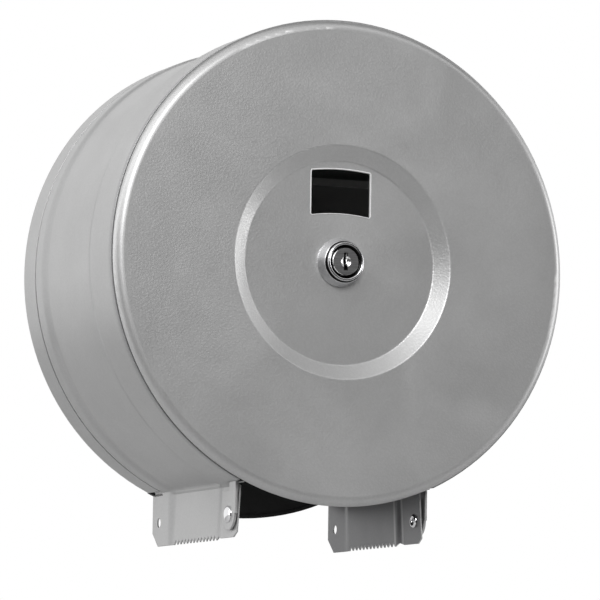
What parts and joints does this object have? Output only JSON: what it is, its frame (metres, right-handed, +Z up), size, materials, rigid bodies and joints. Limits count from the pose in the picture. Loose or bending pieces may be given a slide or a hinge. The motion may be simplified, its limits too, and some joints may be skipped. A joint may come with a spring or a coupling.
{
  "type": "jumbo toilet roll dispenser",
  "caption": "Round wall-mounted steel dispenser for a jumbo paper roll, with serrated tear-off legs, a hinged locking lid with a window and a turning core holder.",
  "frame": {"origin": "where the drum's axis meets the wall, on the back face of the pan", "axes": "+X to the right seen from the front, -Y out of the wall towards the user, +Z up"},
  "size_m": [0.2516, 0.1408, 0.2682],
  "materials": {
    "grey_paint": "satin grain",
    "black_plastic": "matte",
    "dark_plastic": "satin",
    "chrome": "polished",
    "satin_nickel": "satin",
    "zinc_steel": "zinc plated",
    "rivet_aluminium": "satin"
  },
  "bodies": {
    "case": {"back_pan": "grey_paint", "back_liner": "black_plastic", "side_band": "grey_paint", "hinge_washer_left": "zinc_steel", "hinge_washer_right": "zinc_steel", "hinge_pin_left": "chrome", "hinge_pin_right": "chrome", "spindle_post": "zinc_steel", "catch_plate": "zinc_steel", "spindle_rivets": "rivet_aluminium", "liner_rivets": "rivet_aluminium"},
    "lid": {"front_lid": "grey_paint", "lid_lug_left": "grey_paint", "lid_lug_right": "grey_paint", "lock_housing": "chrome", "lock_washer": "zinc_steel", "lock_nut": "zinc_steel"},
    "lock": {"lock_plug": "satin_nickel", "lock_cam": "zinc_steel", "cam_screw": "zinc_steel"},
    "core_holder": {"roll_hub": "dark_plastic"}
  },
  "joints": [
    {"name": "lid_hinge", "type": "hinge", "parent": "case", "child": "lid", "pos_m": [0, -0.1174, -0.13], "axis": [1, 0, 0], "range_deg": [0, 170]},
    {"name": "lock_turn", "type": "hinge", "parent": "lid", "child": "lock", "pos_m": [0, -0.125, 0], "axis": [0, 1, 0], "range_deg": [0, 90]},
    {"name": "core_spin", "type": "hinge", "parent": "case", "child": "core_holder", "pos_m": [0, -0.06, 0], "axis": [0, 1, 0], "continuous": true}
  ]
}
